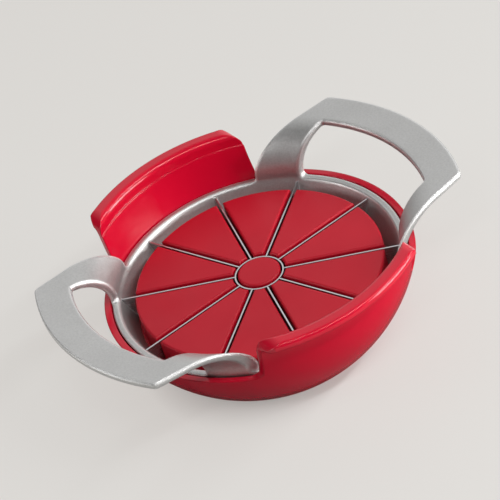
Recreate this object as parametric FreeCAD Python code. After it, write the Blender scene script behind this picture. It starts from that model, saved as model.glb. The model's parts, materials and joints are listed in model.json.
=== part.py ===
import FreeCAD, Part
import math
import os

os.makedirs("parts", exist_ok=True)

# Apple slicer press.  Millimetres, +Z up, +X through the handles, origin on the table
# under the middle of the foot.  A moulded bowl holds a slotted rest, and a cast crown
# with two handles carries ten blades and a core ring down over the rest.

# ---- driving dimensions: bowl ------------------------------------------------------
rim_height = 55.0          # table to the top of the two high walls
rim_radius = 73.6          # outer edge of the rolled rim
rim_width = 7.2            # rim, measured along a radius
rim_depth = 4.0            # rim, measured down from its top
rim_overhang = 5.0         # rim past the wall below it
rim_step = 6.0             # rim top down to the narrow ledge inside it
rim_round = 1.6            # rounding of the rim's two outer edges
rim_inner_round = 2.6      # rounding of its inner edge
rim_cove = 2.6             # hollow rounding under the rim
foot_radius = 40.9         # flat that stands on the table
foot_ring_width = 3.6      # standing ring round the recess
foot_recess = 3.0          # height of that ring
foot_round = 1.6           # rounding of the foot's outer edge
bowl_wall = 2.6            # wall of the bowl
floor_thickness = 2.6      # floor over the recess
notch_depth = 21.7         # rim top down to the floor of the two side notches
wall_end_half = 37.7       # middle plane to a wall's end
wall_end_round = 6.0       # rounded top corner of each wall end
rim_end_round = 12.0       # rounded outer corner of the rim at each wall end, from above
notch_corner = 3.0         # hollow corner between wall end and notch floor

# ---- driving dimensions: crown (ring, legs and handles in one casting) -------------
crown_thickness = 3.0      # wall of the casting
crown_gap = 0.5            # crown to the inside of the bowl
ring_height = 12.0         # crown ring, from its seat to its top
ring_step = 0.3            # ring top above the notch floor
waist_blend = 8.0          # bend from the ring's slope to the upright legs
flare_radius = 18.4        # bend from the legs out to the handles, top surface
handle_drop = 1.7          # rim top down to the handle, where the bend ends
handle_slope = 5.0         # rise of the handles towards their ends, degrees
handle_reach = 89.0        # axis to the end of a handle
handle_band = 14.7         # handle, across its end
strap_end_half = 43.6      # half width of a handle at its outer corner
strap_root_half = 47.2     # half width of the two legs at their root
window_half = 33.7         # half width of the hand opening
handle_corner = 3.0        # rounded outer corners of a handle
window_corner = 1.6        # rounded corners of the hand opening
leg_root_round = 1.8       # hollow corner between ring top and leg
crown_bevel = 0.6          # broken edges of the handles and legs

# ---- driving dimensions: blades and core ring --------------------------------------
blade_count = 10           # one cut for each wedge
blade_thickness = 0.6
blade_height = 9.5
blade_floor_gap = 1.0      # cutting edge above the floor of its slot
blade_bevel_height = 2.0   # ground bevel above the cutting edge
blade_edge_land = 0.12     # thickness left at the cutting edge
blade_seat_depth = 1.6     # blade end let into the crown ring
blade_seat_gap = 0.05      # clearance of that seat
core_bore_radius = 9.7     # inside of the core ring
core_wall = 0.6
core_edge_bevel = 0.4      # bevel round the core ring's cutting edge
tab_height = 4.0           # tab of each blade in the core ring's slit
tab_gap = 0.05             # clearance of the tab in its slit

# ---- driving dimensions: rest (deck and pads under the apple) ----------------------
rest_wall = 2.0            # wall of the rest
rest_edge_gap = 0.05       # edge of the deck to the inside of the bowl
pad_rise = 1.0             # pads above the top edge of the blades
pad_slot = 2.8             # slot between two pads, for a blade
pad_ring_gap = 0.7         # pads to the crown ring
pad_core_gap = 0.8         # pads to the core ring, inside and outside
pad_bevel = 0.6            # bevel of the pads' top edges
post_count = 5             # posts on the bowl's floor that carry the rest
post_circle = 30.0         # radius of the circle they stand on
post_radius = 3.2
peg_radius = 1.5           # pegs of the rest, pressed into the posts
peg_length = 7.0
peg_gap = 0.03             # clearance of the pegs, radial
peg_end_gap = 1.0          # bore below the end of a peg

# ---- derived places ----------------------------------------------------------------
blade_pitch = 360.0 / blade_count
floor_top = foot_recess + floor_thickness
rim_bottom = rim_height - rim_depth
wall_radius = rim_radius - rim_overhang
bowl_centre = (wall_radius ** 2 + rim_bottom ** 2 - foot_radius ** 2) / (2 * rim_bottom)
bowl_outer = math.hypot(foot_radius, bowl_centre)
bowl_inner = bowl_outer - bowl_wall
notch_level = rim_height - notch_depth
ring_top = notch_level + ring_step
deck_top = ring_top - ring_height
deck_bottom = deck_top - rest_wall
crown_outer = bowl_inner - crown_gap
crown_inner = crown_outer - crown_thickness
blade_bottom = deck_top + blade_floor_gap
blade_top = blade_bottom + blade_height
core_radius = core_bore_radius + core_wall
pad_top = blade_top + pad_rise
tab_bottom = blade_bottom + (blade_height - tab_height) / 2

UP = FreeCAD.Vector(0, 0, 1)
ALONG_Y = FreeCAD.Vector(0, 1, 0)
OUTWARDS = FreeCAD.Vector(1, 0, 0)  # in a half section
ORIGIN = FreeCAD.Vector(0, 0, 0)
FAR = 3 * handle_reach     # longer than anything in the model
SHARP = math.radians(25)   # faces that meet at more than this make a sharp edge


# ---- helpers -----------------------------------------------------------------------
def section_point(radius, height):
    """A point of the half section that is revolved round the axis."""
    return FreeCAD.Vector(radius, 0, height)


def plan_point(radius, degrees, height=0.0):
    """A point by its radius and its angle from +X."""
    turn = math.radians(degrees)
    return FreeCAD.Vector(radius * math.cos(turn), radius * math.sin(turn), height)


def sphere_radius_at(sphere_radius, height):
    """Radius of a sphere round the bowl's centre, cut at a height."""
    return math.sqrt(sphere_radius ** 2 - (bowl_centre - height) ** 2)


def sphere_point(sphere_radius, height):
    """The point of such a sphere's half section at a height."""
    return section_point(sphere_radius_at(sphere_radius, height), height)


def sphere_point_towards(sphere_radius, target):
    """The point of such a sphere that lies straight towards a target."""
    middle = section_point(0, bowl_centre)
    direction = target - middle
    direction.normalize()
    return middle + direction * sphere_radius


def arc_between(start, end, centre):
    """The short arc from start to end round a centre."""
    middle = (start + end) * 0.5 - centre
    middle.multiply((start - centre).Length / middle.Length)
    return Part.Arc(start, centre + middle, end).toShape()


def line(start, end):
    return Part.LineSegment(start, end).toShape()


def closed_outline(corners):
    """Edges round a closed outline, from each corner and the centre of the arc that leaves it."""
    edges = []
    for (start, centre), (end, _) in zip(corners, corners[1:] + corners[:1]):
        edges.append(arc_between(start, end, centre) if centre else line(start, end))
    return edges


def walked_back(corners):
    """The same run of corners and arcs, from its last corner to its first."""
    points = [point for point, _ in corners]
    centres = [centre for _, centre in corners]
    return list(zip(points[::-1], centres[-2::-1] + [None]))


def revolve(corners):
    """A solid turned from the closed half section."""
    face = Part.Face(Part.Wire(closed_outline(corners)))
    return face.revolve(ORIGIN, UP, 360)


def prism(points, direction):
    """A solid with straight sides, from the corners of one end."""
    face = Part.Face(Part.makePolygon(points + points[:1]))
    return face.extrude(direction)


def edges_where(shape, test):
    """The edges whose every sampled point passes the test."""
    chosen = []
    for edge in shape.Edges:
        first, last = edge.ParameterRange
        samples = [edge.valueAt(first + (last - first) * part / 4) for part in range(5)]
        if all(test(point) for point in samples):
            chosen.append(edge)
    return chosen


def near(value, target, tolerance=0.01):
    return abs(value - target) < tolerance


def sharp_edges(shape, edges):
    """Those of the edges where two faces of the shape meet at an angle."""
    chosen = []
    for edge in edges:
        first, last = edge.ParameterRange
        middle = edge.valueAt((first + last) / 2)
        normals = [face.normalAt(*face.Surface.parameter(middle))
                   for face in shape.ancestorsOfType(edge, Part.Face)]
        if len(normals) == 2 and normals[0].getAngle(normals[1]) > SHARP:
            chosen.append(edge)
    return chosen


def turned(shape, degrees):
    """A copy turned round the axis."""
    copy = shape.copy()
    copy.rotate(ORIGIN, UP, degrees)
    return copy


def export(shape, name):
    shape.exportStep("parts/" + name + ".step")


# ---- base bowl ---------------------------------------------------------------------
def bowl_section():
    """Half section of the bowl: foot ring, round wall, cove, rolled rim, inside."""
    middle = section_point(0, bowl_centre)
    foot_turn = sphere_point(bowl_outer - foot_round, foot_round)
    cove_turn = sphere_point(bowl_outer + rim_cove, rim_bottom - rim_cove)
    foot_inner = foot_radius - foot_ring_width
    rim_inner = rim_radius - rim_width
    low_turn = section_point(rim_radius - rim_round, rim_bottom + rim_round)
    high_turn = section_point(rim_radius - rim_round, rim_height - rim_round)
    inner_turn = section_point(rim_inner + rim_inner_round, rim_height - rim_inner_round)
    return [
        (section_point(0, foot_recess), None),
        (section_point(foot_inner, foot_recess), None),
        (section_point(foot_inner, 0), None),
        (section_point(foot_turn.x, 0), foot_turn),
        (sphere_point_towards(bowl_outer, foot_turn), middle),
        (sphere_point_towards(bowl_outer, cove_turn), cove_turn),
        (section_point(cove_turn.x, rim_bottom), None),
        (low_turn - UP * rim_round, low_turn),
        (low_turn + OUTWARDS * rim_round, None),
        (high_turn + OUTWARDS * rim_round, high_turn),
        (high_turn + UP * rim_round, None),
        (inner_turn + UP * rim_inner_round, inner_turn),
        (inner_turn - OUTWARDS * rim_inner_round, None),
        (section_point(rim_inner, rim_height - rim_step), None),
        (sphere_point(bowl_inner, rim_height - rim_step), middle),
        (sphere_point(bowl_inner, floor_top), None),
        (section_point(0, floor_top), None),
    ]


def wall_outline():
    """What stays of the bowl, seen along Y: the low part and the two high walls."""
    corners = [(-FAR, -FAR), (FAR, -FAR), (FAR, notch_level), (wall_end_half, notch_level)]
    corners += [(wall_end_half, rim_height), (-wall_end_half, rim_height)]
    corners += [(-wall_end_half, notch_level), (-FAR, notch_level)]
    block = prism([FreeCAD.Vector(x, -FAR, z) for x, z in corners], ALONG_Y * (2 * FAR))

    def wall_end(height):
        return edges_where(block, lambda p: near(abs(p.x), wall_end_half) and near(p.z, height))

    block = block.makeFillet(notch_corner, wall_end(notch_level))
    return block.makeFillet(wall_end_round, wall_end(rim_height))


def rim_corner(side_x, side_y):
    """What is cut off one outer corner of the rim, so that the wall's end has no overhang."""
    turn = FreeCAD.Vector(side_x * (wall_end_half - rim_end_round),
                          side_y * math.sqrt(wall_radius ** 2 - wall_end_half ** 2), notch_level)
    along_radius = FreeCAD.Vector(turn.x, turn.y, 0)
    along_radius.normalize()
    corners = [turn, turn + OUTWARDS * side_x * rim_radius, turn + along_radius * rim_radius]
    return prism(corners, UP * rim_height).cut(Part.makeCylinder(rim_end_round, rim_height, turn, UP))


def post_places(height):
    """Points over the posts, which stand under blade slots, where the rest's deck is whole."""
    return [plan_point(post_circle, 2 * blade_pitch * index, height) for index in range(post_count)]


def make_base_bowl():
    bowl = revolve(bowl_section()).common(wall_outline())
    bowl = bowl.cut([rim_corner(side_x, side_y) for side_x in (-1, 1) for side_y in (-1, 1)])
    post_height = deck_bottom - floor_top
    bore_depth = peg_length + peg_end_gap
    posts = [Part.makeCylinder(post_radius, post_height, foot, UP)
             for foot in post_places(floor_top)]
    bores = [Part.makeCylinder(peg_radius + peg_gap, bore_depth, mouth, UP)
             for mouth in post_places(deck_bottom - bore_depth)]
    return bowl.fuse(posts).cut(bores).removeSplitter()


# ---- cutter frame ------------------------------------------------------------------
def crown_section():
    """Half section of the casting: sloped ring, upright waist, flare and handle."""
    slope = math.radians(handle_slope)
    waist = rim_height - handle_drop - flare_radius * math.cos(slope)
    share = waist_blend / crown_outer
    bend = (waist - share * bowl_centre) / (1 - share)
    middle = section_point(0, bowl_centre)
    blend_turn = section_point(sphere_radius_at(crown_outer, bend) * (1 - share), waist)
    waist_radius = blend_turn.x + waist_blend - crown_thickness
    flare_turn = section_point(waist_radius + flare_radius, waist)
    upward = section_point(-math.sin(slope), math.cos(slope))

    def side(sphere, blend, flare):
        """Corners of one face of the wall, from the ring's foot to the handle's end."""
        flare_end = flare_turn + upward * flare
        tip_height = flare_end.z + (handle_reach - flare_end.x) * math.tan(slope)
        return [
            (sphere_point(sphere, deck_top), middle),
            (sphere_point_towards(sphere, blend_turn), blend_turn),
            (blend_turn + section_point(blend, 0), flare_turn),
            (flare_end, None),
            (section_point(handle_reach, tip_height), None),
        ]

    under = side(crown_outer, waist_blend, flare_radius - crown_thickness)
    top = side(crown_inner, waist_blend - crown_thickness, flare_radius)
    return under + walked_back(top)


def strap_half(x):
    """Half width of the two legs and their handle, at a distance from the middle."""
    corner_x = math.sqrt(handle_reach ** 2 - strap_end_half ** 2)
    root_x = math.sqrt(sphere_radius_at(crown_outer, ring_top) ** 2 - strap_root_half ** 2)
    splay = (strap_root_half - strap_end_half) / (corner_x - root_x)
    return strap_root_half - splay * (abs(x) - root_x)


def upright_edges(block, half_least):
    """Edges that stand upright, further than a width from the plane through the handles."""
    def upright(edge):
        first, last = edge.Vertexes[0].Point, edge.Vertexes[-1].Point
        return near(first.x, last.x) and near(first.y, last.y) and abs(first.y) > half_least
    return [edge for edge in block.Edges if upright(edge)]


def outside_block():
    """All that is cut away above the ring outside the handles and legs."""
    corners = [(-handle_reach, strap_half(handle_reach)), (0, strap_half(0))]
    corners += [(handle_reach, strap_half(handle_reach)), (handle_reach, -strap_half(handle_reach))]
    corners += [(0, -strap_half(0)), (-handle_reach, -strap_half(handle_reach))]
    strap = prism([FreeCAD.Vector(x, y, ring_top) for x, y in corners], UP * rim_height)
    disc = Part.makeCylinder(handle_reach, rim_height, section_point(0, ring_top), UP)
    strap = strap.common(disc)
    tips = [edge for edge in upright_edges(strap, 0) if abs(edge.Vertexes[0].X) > strap_end_half]
    strap = strap.makeFillet(handle_corner, tips)
    block = Part.makeCylinder(FAR, rim_height, section_point(0, ring_top), UP).cut(strap)
    roots = edges_where(block, lambda p: near(p.z, ring_top) and near(abs(p.y), strap_half(p.x)))
    return block.makeFillet(leg_root_round, roots)


def window_block():
    """All that is cut away above the ring between the legs, with both hand openings."""
    hand_radius = handle_reach - handle_band
    corners = [(-FAR, -window_half), (FAR, -window_half), (FAR, window_half), (-FAR, window_half)]
    block = prism([FreeCAD.Vector(x, y, ring_top) for x, y in corners], UP * rim_height)
    block = block.common(Part.makeCylinder(hand_radius, rim_height, section_point(0, ring_top), UP))
    block = block.makeFillet(window_corner, upright_edges(block, 0))
    roots = edges_where(block, lambda p: near(p.z, ring_top) and near(abs(p.y), window_half))
    return block.makeFillet(leg_root_round, roots)


def blade_angles():
    return [blade_pitch * index for index in range(blade_count)]


def make_cutter_frame():
    crown = revolve(crown_section()).cut([outside_block(), window_block()]).removeSplitter()
    above_ring = edges_where(crown, lambda p: p.z > ring_top + crown_bevel / 2)
    crown = crown.makeChamfer(crown_bevel, sharp_edges(crown, above_ring))
    return crown.cut([turned(blade_solid(blade_seat_gap), angle) for angle in blade_angles()])


# ---- blades and core ring ----------------------------------------------------------
def blade_solid(gap):
    """A blade along +X, or with a gap the seat that takes it in the crown ring."""
    seat_sphere = crown_inner + blade_seat_depth + gap
    low = blade_bottom - gap
    high = blade_top + gap
    outline = [
        section_point(core_radius, low),
        section_point(sphere_radius_at(seat_sphere, low), low),
        section_point(sphere_radius_at(seat_sphere, high), high),
        section_point(core_radius, high),
    ]
    thickness = blade_thickness + 2 * gap
    blade = prism(outline, ALONG_Y * thickness)
    blade.translate(ALONG_Y * (-thickness / 2))
    return blade


def make_blade():
    """A ground strip with a tab for the core ring."""
    blade = blade_solid(0)
    bevel_side = (blade_thickness - blade_edge_land) / 2
    for side in (-1, 1):
        outer = side * blade_thickness / 2
        inner = outer - side * bevel_side
        corners = [(outer, blade_bottom + blade_bevel_height), (inner, blade_bottom)]
        corners += [(2 * outer, blade_bottom), (2 * outer, blade_bottom + blade_bevel_height)]
        wedge = prism([FreeCAD.Vector(0, y, z) for y, z in corners], FreeCAD.Vector(FAR, 0, 0))
        blade = blade.cut(wedge)
    tab_start = FreeCAD.Vector(core_bore_radius + tab_gap, -blade_thickness / 2, tab_bottom)
    tab = Part.makeBox(2 * core_wall - tab_gap, blade_thickness, tab_height, tab_start)
    return blade.cut(core_clearance()).fuse(tab).removeSplitter()


def core_clearance():
    """The core ring's outside, which the blade's end follows."""
    return Part.makeCylinder(core_radius + tab_gap, rim_height)


def make_core_ring():
    base = section_point(0, blade_bottom)
    tube = Part.makeCylinder(core_radius, blade_height, base, UP)
    lower = edges_where(tube, lambda p: near(p.z, blade_bottom))
    tube = tube.makeChamfer(core_edge_bevel, lower)
    tube = tube.cut(Part.makeCylinder(core_bore_radius, blade_height, base, UP))
    width = blade_thickness + 2 * tab_gap
    corner = FreeCAD.Vector(0, -width / 2, tab_bottom - tab_gap)
    slit = Part.makeBox(2 * core_radius, width, tab_height + 2 * tab_gap, corner)
    for angle in blade_angles():
        tube = tube.cut(turned(slit, angle))
    return tube


# ---- rest --------------------------------------------------------------------------
def sector(half_slot, inner_radius, outer_radius, bottom, height):
    """A block between the blade at 0 degrees and the next one, clear of both."""
    axis = section_point(0, bottom)
    inner_turn = math.degrees(math.asin(half_slot / inner_radius))
    outer_turn = math.degrees(math.asin(half_slot / outer_radius))
    corners = [
        (plan_point(inner_radius, inner_turn, bottom), None),
        (plan_point(outer_radius, outer_turn, bottom), axis),
        (plan_point(outer_radius, blade_pitch - outer_turn, bottom), None),
        (plan_point(inner_radius, blade_pitch - inner_turn, bottom), axis),
    ]
    return Part.Face(Part.Wire(closed_outline(corners))).extrude(UP * height)


def bevelled_top(block):
    """The block with its top edges bevelled."""
    return block.makeChamfer(pad_bevel, edges_where(block, lambda p: near(p.z, pad_top)))


def make_apple_rest():
    """A round deck with ten hollow pads and a centre pad, and pegs below."""
    deck_radius = sphere_radius_at(bowl_inner - rest_edge_gap, deck_bottom)
    pad_outer = sphere_radius_at(crown_inner, deck_top) - pad_ring_gap
    pad_inner = core_radius + pad_core_gap
    centre_radius = core_bore_radius - pad_core_gap
    rise = pad_top - deck_top
    hollow_rise = pad_top - rest_wall - deck_bottom
    under = section_point(0, deck_bottom)
    pad = bevelled_top(sector(pad_slot / 2, pad_inner, pad_outer, deck_top, rise))
    hollow = sector(pad_slot / 2 + rest_wall, pad_inner + rest_wall, pad_outer - rest_wall,
                    deck_bottom, hollow_rise)
    centre_pad = bevelled_top(Part.makeCylinder(centre_radius, rise, section_point(0, deck_top), UP))
    centre_hollow = Part.makeCylinder(centre_radius - rest_wall, hollow_rise, under, UP)
    pegs = [Part.makeCylinder(peg_radius, peg_length, end, UP)
            for end in post_places(deck_bottom - peg_length)]
    deck = Part.makeCylinder(deck_radius, rest_wall, under, UP)
    rest = deck.fuse([turned(pad, angle) for angle in blade_angles()] + [centre_pad] + pegs)
    rest = rest.cut([turned(hollow, angle) for angle in blade_angles()] + [centre_hollow])
    return rest.removeSplitter()


# ---- export ------------------------------------------------------------------------
export(make_base_bowl(), "base_bowl")
export(make_apple_rest(), "apple_rest")
export(make_cutter_frame(), "cutter_frame")
export(make_core_ring(), "core_ring")
for number, angle in enumerate(blade_angles(), start=1):
    export(turned(make_blade(), angle), "blade_%02d" % number)
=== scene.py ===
import json
import math

import bpy
from mathutils import Matrix, Vector

# Apple slicer press.  Metres, in the part's own frame.  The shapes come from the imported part;
# this script gives them their finish, and sets the floor, the sky, the lamps and the camera.
# Colours are linear.

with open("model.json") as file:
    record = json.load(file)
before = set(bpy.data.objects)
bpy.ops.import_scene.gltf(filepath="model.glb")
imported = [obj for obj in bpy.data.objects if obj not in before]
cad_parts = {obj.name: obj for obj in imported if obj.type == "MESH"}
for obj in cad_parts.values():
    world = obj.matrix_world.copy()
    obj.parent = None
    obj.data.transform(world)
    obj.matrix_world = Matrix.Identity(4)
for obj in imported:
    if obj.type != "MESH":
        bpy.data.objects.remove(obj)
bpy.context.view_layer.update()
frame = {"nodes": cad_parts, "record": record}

# ---- camera ------------------------------------------------------------------------
CAMERA_AZIMUTH = -26.3
CAMERA_ELEVATION = 38.2
CAMERA_ROLL = -17.2         # the printed picture slants by this much
CAMERA_DISTANCE = 0.904
CAMERA_AIM = Vector((0.003, 0.008, 0.038))
CAMERA_LENS = 159.0         # millimetres, for a 36 mm wide sensor
CAMERA_NEAR, CAMERA_FAR = 0.05, 20.0

# ---- floor and sky -----------------------------------------------------------------
# A pair of shares goes with a pair of places, and the share changes evenly between the two.
FLOOR_SIZE = 8.0
BACKDROP_COLOUR = (0.715, 0.70, 0.67)   # past the floor, to the camera
PAPER_LIT = (0.65, 0.68, 0.67)          # the floor under the lamps, to the camera
PAPER_GLOW = (0.737, 0.705, 0.672)      # its own glow, to the camera, which weakens the shadow
GLOW_SHARES = (0.35, 0.78)              # share of that glow, small at the foot
GLOW_RADII = (0.038, 0.060)             # distance from the axis
PAPER_BOUNCE = (0.50, 0.50, 0.49)       # the floor as it lights the part
PAPER_MIRRORED_SHADE = (0.12, 0.12, 0.12)     # the floor beside the part, as the part mirrors it: dark, a painted shade in the part's reflections
PAPER_ROUGHNESS = 0.9
MIRROR_SHARES = (0.0, 1.0)              # how far the part mirrors the floor that the camera sees
MIRROR_RADII = (0.09, 0.12)             # distance from the axis
SKY_COLOUR = (1.0, 1.0, 1.0)
SKY_TOWARDS = (0.48, 0.70, 0.53)        # the sky is brightest over there
SKY_STRENGTHS = (0.08, 0.98)
SKY_COSINES = (0.55, 1.0)               # of the angle away from there

# ---- lamps, all of them aimed at the origin ------------------------------------------
# name, azimuth, elevation, distance, long side, short side, tilt, watts
LAMPS = (
    ("key_strip", 58.0, 43.0, 1.1, 1.2, 0.07, -35.0, 7.0),
    ("front_strip", -12.0, 57.0, 1.1, 1.0, 0.06, 0.0, 4.5),
    ("side_softbox", 46.0, 9.0, 1.0, 0.6, 0.26, 0.0, 10.5),
    ("edge_softbox", -112.0, 26.0, 1.0, 0.40, 0.40, 0.0, 2.2),
)

# ---- finishes ----------------------------------------------------------------------
BOWL_RED = (0.50, 0.002, 0.020)
# the bowl's red plastic made darker: painted shade for the rest inside the bowl
REST_RED_SHADED = (0.44, 0.003, 0.016)
CAST_DARK, CAST_PALE = (0.52, 0.518, 0.51), (0.57, 0.568, 0.56)
CAST_SPECK = (0.27, 0.267, 0.26)
# edge colour of the casting: partly wear, partly a painted highlight along its edges
CAST_WORN_AND_HIGHLIGHT = (0.90, 0.90, 0.89)
STEEL_DARK, STEEL_PALE = (0.50, 0.51, 0.52), (0.66, 0.67, 0.68)
PLASTIC_IOR = 1.46
FLOW_SHADES = (0.93, 1.05)              # flow marks in the plastic, as shares of its colour
SPECK_SHARES = (0.35, 0.0)              # dark specks in the casting's grain
STROKE_STRETCH = 0.02                   # grinding lines, across to along
PLASTIC_EDGE, CAST_EDGE = 0.0009, 0.0018    # radii to which edges look rounded
EDGE_SAMPLES = 8
EDGE_SHARES = (1.0, 0.0)
EDGE_COSINES = (0.90, 0.995)            # of the turn that the rounding gives the surface
NOISE_SPAN = (0.3, 0.7)                 # where most values of a noise texture lie


# ---- node helpers ------------------------------------------------------------------
class Nodes:
    """A node tree that is being built."""

    def __init__(self, tree):
        self.tree = tree

    def node(self, kind, **settings):
        made = self.tree.nodes.new(kind)
        for key, value in settings.items():
            setattr(made, key, value)
        return made

    def feed(self, source, target):
        """Gives a socket another node's output, a number, a vector or a colour."""
        if isinstance(source, bpy.types.NodeSocket):
            self.tree.links.new(source, target)
        elif target.type == "RGBA":
            target.default_value = (*source, 1.0)
        else:
            target.default_value = source

    def ranged(self, value, shares, span=NOISE_SPAN):
        """The value's place in the span, as a number between the two shares."""
        made = self.node("ShaderNodeMapRange")
        for names, numbers in ((("From Min", "From Max"), span), (("To Min", "To Max"), shares)):
            for name, number in zip(names, numbers):
                made.inputs[name].default_value = number
        self.feed(value, made.inputs["Value"])
        return made.outputs["Result"]

    def computed(self, kind, operation, *values):
        """A number from a Math or Vector Math node."""
        made = self.node(kind, operation=operation)
        for value, target in zip(values, made.inputs):
            self.feed(value, target)
        return made.outputs["Value"]

    def mixed_shaders(self, share, low, high):
        made = self.node("ShaderNodeMixShader")
        for source, target in zip((share, low, high), made.inputs):
            self.feed(source, target)
        return made.outputs["Shader"]


class Surface(Nodes):
    """A material that is being built from nodes."""

    def __init__(self, name):
        self.material = bpy.data.materials.new(name)
        self.material.use_nodes = True
        super().__init__(self.material.node_tree)
        self.shader = self.tree.nodes["Principled BSDF"]

    def set(self, **sockets):
        """Values that are the same all over the surface."""
        for key, value in sockets.items():
            self.shader.inputs[key.replace("_", " ")].default_value = value

    def vary(self, **sockets):
        """Outputs of other nodes that change over the surface."""
        for key, source in sockets.items():
            self.feed(source, self.shader.inputs[key.replace("_", " ")])

    def place(self):
        return self.node("ShaderNodeTexCoord").outputs["Object"]

    def noise(self, vector, scale, detail, roughness=0.5):
        """Noise with `scale` patches to the metre."""
        made = self.node("ShaderNodeTexNoise")
        made.inputs["Scale"].default_value = scale
        made.inputs["Detail"].default_value = detail
        made.inputs["Roughness"].default_value = roughness
        self.feed(vector, made.inputs["Vector"])
        return made.outputs["Fac"]

    def ramp(self, value, low, high):
        made = self.node("ShaderNodeValToRGB")
        for element, position, colour in zip(made.color_ramp.elements, NOISE_SPAN, (low, high)):
            element.position = position
            element.color = (*colour, 1.0)
        self.feed(value, made.inputs["Fac"])
        return made.outputs["Color"]

    def mixed(self, share, low, high):
        made = self.node("ShaderNodeMix", data_type="RGBA")
        self.feed(share, made.inputs["Factor"])
        for name, colour in (("A", low), ("B", high)):
            target = [item for item in made.inputs if item.name == name and item.type == "RGBA"][0]
            self.feed(colour, target)
        return [item for item in made.outputs if item.type == "RGBA"][0]

    def bump(self, height, depth, below=None, strength=1.0):
        """The normal `below`, or the mesh's own, with relief of that depth on it."""
        made = self.node("ShaderNodeBump")
        made.inputs["Distance"].default_value = depth
        made.inputs["Strength"].default_value = strength
        self.feed(height, made.inputs["Height"])
        if below:
            self.feed(below, made.inputs["Normal"])
        return made.outputs["Normal"]

    def rounded_edges(self, radius):
        made = self.node("ShaderNodeBevel", samples=EDGE_SAMPLES)
        made.inputs["Radius"].default_value = radius
        return made.outputs["Normal"]

    def edge_share(self, rounded):
        """1 where the rounded edges turn the surface away from its true face, 0 on flat faces."""
        true_face = self.node("ShaderNodeNewGeometry").outputs["Normal"]
        turn = self.computed("ShaderNodeVectorMath", "DOT_PRODUCT", rounded, true_face)
        return self.ranged(turn, EDGE_SHARES, EDGE_COSINES)


def shade(colour, factor):
    return tuple(channel * factor for channel in colour)


# ---- materials ---------------------------------------------------------------------
def moulded_plastic(name, colour, roughness, grain_depth, shine):
    """Coloured plastic from a polished mould, with faint flow marks and fine grain."""
    surface = Surface(name)
    place = surface.place()
    flow = surface.noise(place, scale=22.0, detail=3.0)
    handling = surface.noise(place, scale=60.0, detail=3.0)
    grain = surface.noise(place, scale=1900.0, detail=2.0)
    normal = surface.rounded_edges(PLASTIC_EDGE)
    normal = surface.bump(flow, depth=0.00006, below=normal, strength=0.5)
    normal = surface.bump(grain, depth=grain_depth, below=normal)
    surface.vary(Base_Color=surface.ramp(flow, *(shade(colour, factor) for factor in FLOW_SHADES)),
                 Roughness=surface.ranged(handling, roughness), Normal=normal)
    surface.set(IOR=PLASTIC_IOR, Specular_IOR_Level=shine)
    return surface.material


def cast_aluminium(name):
    """Die-cast alloy, tumbled to an even matt grey, with edges painted brighter: partly wear, partly
    painted highlight.
    """
    surface = Surface(name)
    place = surface.place()
    patches = surface.noise(place, scale=45.0, detail=4.0)
    grain = surface.noise(place, scale=1300.0, detail=3.0, roughness=0.6)
    rounded = surface.rounded_edges(CAST_EDGE)
    tumbled = surface.ramp(patches, CAST_DARK, CAST_PALE)
    speckled = surface.mixed(surface.ranged(grain, SPECK_SHARES), tumbled, CAST_SPECK)
    # edges painted brighter: partly wear, partly painted highlight
    worn_and_highlight = surface.mixed(surface.edge_share(rounded), speckled, CAST_WORN_AND_HIGHLIGHT)
    normal = surface.bump(patches, depth=0.00006, below=rounded, strength=0.5)
    normal = surface.bump(grain, depth=0.00003, below=normal)
    surface.vary(Base_Color=worn_and_highlight, Roughness=surface.ranged(grain, (0.36, 0.50)), Normal=normal)
    surface.set(Metallic=0.85)
    return surface.material


def ground_steel(name):
    """Stainless strip with grinding lines that run outwards, or round the core ring."""
    surface = Surface(name)
    place = surface.node("ShaderNodeSeparateXYZ")
    surface.feed(surface.place(), place.inputs["Vector"])
    flat = surface.node("ShaderNodeCombineXYZ")
    surface.feed(place.outputs["X"], flat.inputs["X"])
    surface.feed(place.outputs["Y"], flat.inputs["Y"])
    radius = surface.computed("ShaderNodeVectorMath", "LENGTH", flat.outputs["Vector"])
    lines = surface.node("ShaderNodeCombineXYZ")
    surface.feed(surface.computed("ShaderNodeMath", "MULTIPLY", radius, STROKE_STRETCH), lines.inputs["X"])
    surface.feed(place.outputs["Z"], lines.inputs["Z"])
    strokes = surface.noise(lines.outputs["Vector"], scale=2600.0, detail=4.0, roughness=0.6)
    surface.vary(Base_Color=surface.ramp(strokes, STEEL_DARK, STEEL_PALE),
                 Roughness=surface.ranged(strokes, (0.22, 0.40)),
                 Normal=surface.bump(strokes, depth=0.00002))
    surface.set(Metallic=1.0)
    return surface.material


def floor_paper():
    """Pale to the camera, and to glossy faces at some distance; duller as it lights the part. Glossy faces
    near the part see it dark, a painted shade in their reflections.
    """
    surface = Surface("floor_paper")
    rays = surface.node("ShaderNodeLightPath")
    glossy_ray = rays.outputs["Is Glossy Ray"]
    from_axis = surface.computed("ShaderNodeVectorMath", "LENGTH", surface.place())

    # glossy rays see this floor dark: painted shade in the part's reflections near its foot
    surface.vary(Base_Color=surface.mixed(glossy_ray, PAPER_BOUNCE, PAPER_MIRRORED_SHADE))
    surface.set(Roughness=PAPER_ROUGHNESS)
    lit = surface.node("ShaderNodeBsdfDiffuse")
    surface.feed(PAPER_LIT, lit.inputs["Color"])
    glow = surface.node("ShaderNodeEmission")
    surface.feed(PAPER_GLOW, glow.inputs["Color"])
    pale = surface.mixed_shaders(surface.ranged(from_axis, GLOW_SHARES, GLOW_RADII),
                                 lit.outputs["BSDF"], glow.outputs["Emission"])

    mirrored = surface.computed("ShaderNodeMath", "MULTIPLY", glossy_ray,
                                surface.ranged(from_axis, MIRROR_SHARES, MIRROR_RADII))
    in_sight = surface.computed("ShaderNodeMath", "MAXIMUM", rays.outputs["Is Camera Ray"], mirrored)
    paper = surface.mixed_shaders(in_sight, surface.shader.outputs["BSDF"], pale)
    surface.feed(paper, surface.tree.nodes["Material Output"].inputs["Surface"])
    return surface.material


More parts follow.
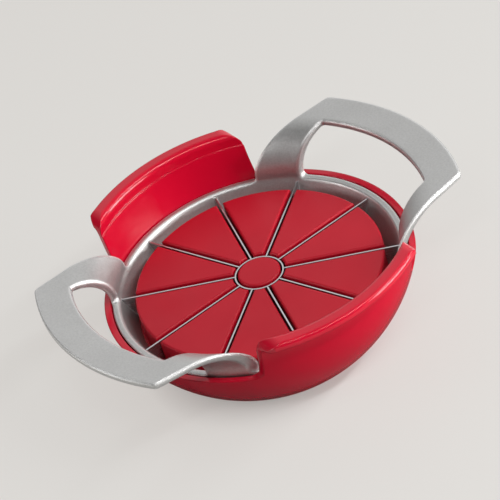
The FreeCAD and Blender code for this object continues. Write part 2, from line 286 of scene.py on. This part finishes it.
def dress_nodes():
    """Every node of the part gets the material of its slot in the record."""
    finishes = {
        "bowl_plastic": moulded_plastic("bowl_plastic", BOWL_RED, roughness=(0.14, 0.18),
                                        grain_depth=0.000005, shine=0.40),
        "rest_plastic": moulded_plastic("rest_plastic", REST_RED_SHADED, roughness=(0.36, 0.46),
                                        grain_depth=0.00003, shine=0.28),
        "cast_aluminium": cast_aluminium("cast_aluminium"),
        "blade_steel": ground_steel("blade_steel"),
    }
    for part in frame["record"]["subparts"]:
        mesh = frame["nodes"][part["node"]].data
        mesh.materials.clear()
        mesh.materials.append(finishes[part["material_slot"]])


# ---- studio ------------------------------------------------------------------------
def make_floor():
    half = FLOOR_SIZE / 2
    mesh = bpy.data.meshes.new("floor")
    corners = [(-half, -half, 0), (half, -half, 0), (half, half, 0), (-half, half, 0)]
    mesh.from_pydata(corners, [], [(0, 1, 2, 3)])
    mesh.materials.append(floor_paper())
    floor = bpy.data.objects.new("floor", mesh)
    bpy.context.scene.collection.objects.link(floor)


def make_sky():
    """A studio dome, dimmer behind the camera, which sees it in the floor's pale colour."""
    world = bpy.data.worlds.new("studio")
    world.use_nodes = True
    bpy.context.scene.world = world
    sky = Nodes(world.node_tree)
    place = sky.node("ShaderNodeTexCoord").outputs["Generated"]
    cosine = sky.computed("ShaderNodeVectorMath", "DOT_PRODUCT", place, SKY_TOWARDS)
    lit = sky.tree.nodes["Background"]
    sky.feed(SKY_COLOUR, lit.inputs["Color"])
    sky.feed(sky.ranged(cosine, SKY_STRENGTHS, SKY_COSINES), lit.inputs["Strength"])
    seen = sky.node("ShaderNodeBackground")
    sky.feed(BACKDROP_COLOUR, seen.inputs["Color"])
    dome = sky.mixed_shaders(sky.node("ShaderNodeLightPath").outputs["Is Camera Ray"],
                             lit.outputs["Background"], seen.outputs["Background"])
    sky.feed(dome, sky.tree.nodes["World Output"].inputs["Surface"])


def aimed(aim, azimuth, elevation, distance, roll):
    """The pose of a camera or lamp that looks at the aim from that side."""
    turn, rise = math.radians(azimuth), math.radians(elevation)
    back = Vector((math.sin(turn) * math.cos(rise), -math.cos(turn) * math.cos(rise), math.sin(rise)))
    return (Matrix.Translation(aim + back * distance)
            @ (-back).to_track_quat("-Z", "Y").to_matrix().to_4x4()
            @ Matrix.Rotation(math.radians(roll), 4, "Z"))


def make_lamps():
    for name, azimuth, elevation, distance, long_side, short_side, tilt, power in LAMPS:
        lamp = bpy.data.lights.new(name, "AREA")
        lamp.shape = "RECTANGLE"
        lamp.size, lamp.size_y = long_side, short_side
        lamp.energy = power
        holder = bpy.data.objects.new(name, lamp)
        holder.matrix_world = aimed(Vector(), azimuth, elevation, distance, tilt)
        bpy.context.scene.collection.objects.link(holder)


def make_camera():
    lens = bpy.data.cameras.new("camera")
    lens.lens = CAMERA_LENS
    lens.clip_start, lens.clip_end = CAMERA_NEAR, CAMERA_FAR
    camera = bpy.data.objects.new("camera", lens)
    camera.matrix_world = aimed(CAMERA_AIM, CAMERA_AZIMUTH, CAMERA_ELEVATION, CAMERA_DISTANCE,
                                CAMERA_ROLL)
    bpy.context.scene.collection.objects.link(camera)
    bpy.context.scene.camera = camera


dress_nodes()
make_floor()
make_sky()
make_lamps()
make_camera()
bpy.context.scene.view_settings.view_transform = "Standard"
